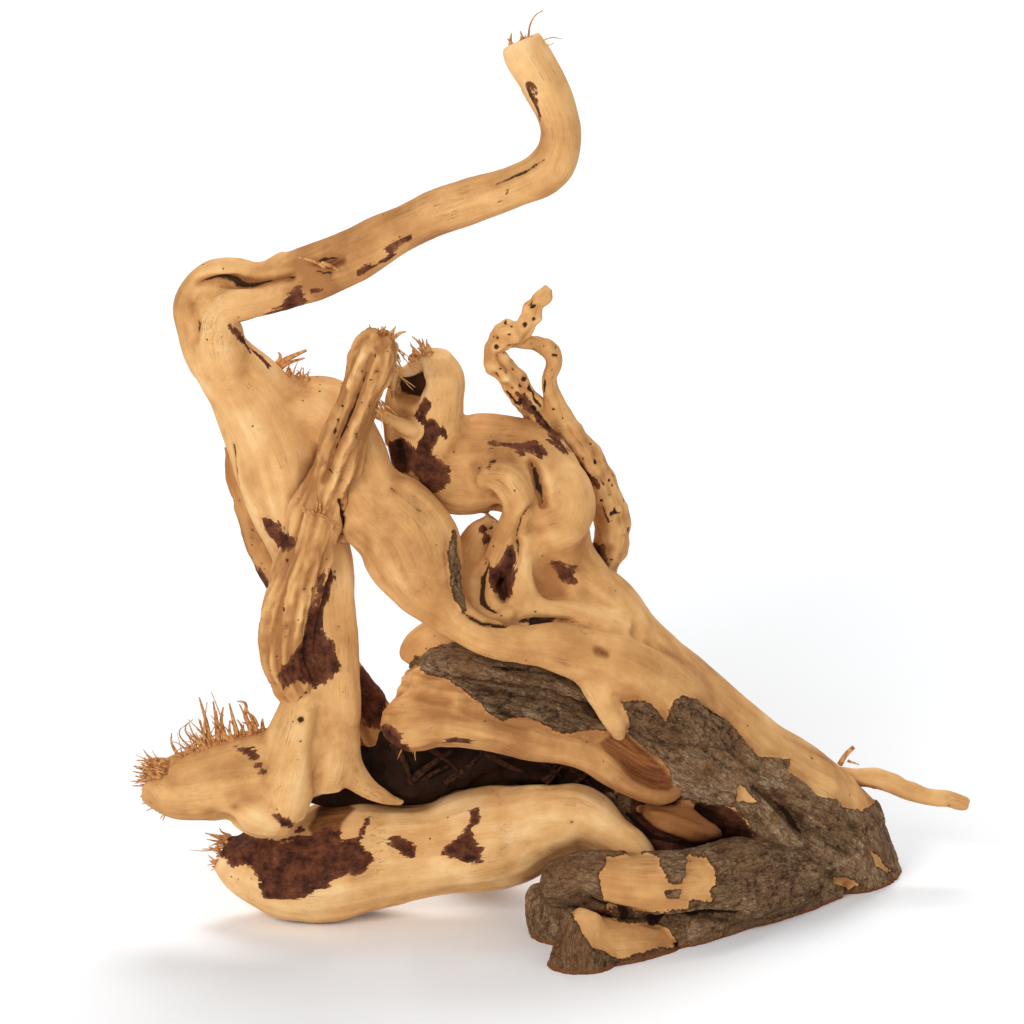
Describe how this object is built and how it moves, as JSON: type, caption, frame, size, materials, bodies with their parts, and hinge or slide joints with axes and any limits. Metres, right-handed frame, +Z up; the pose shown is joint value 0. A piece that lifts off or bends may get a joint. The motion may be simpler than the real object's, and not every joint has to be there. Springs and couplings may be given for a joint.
{
  "type": "piece of driftwood",
  "caption": "Branching driftwood of twisted bare roots round a bark-covered stump sawn flat below, with one long root reaching up and over.",
  "frame": {"origin": "middle of the bounding box seen from above, on the ground the sawn stump stands on", "axes": "+Z up and the longest extent; -Y towards the front of the stump; +X towards the side twig on the right"},
  "size_m": [0.4162, 0.1822, 0.4695],
  "materials": {
    "bare_wood": "bare weathered wood, dry and unvarnished, with patches of dark bark"
  },
  "bodies": {
    "root": {"driftwood": "bare_wood"}
  },
  "joints": []
}
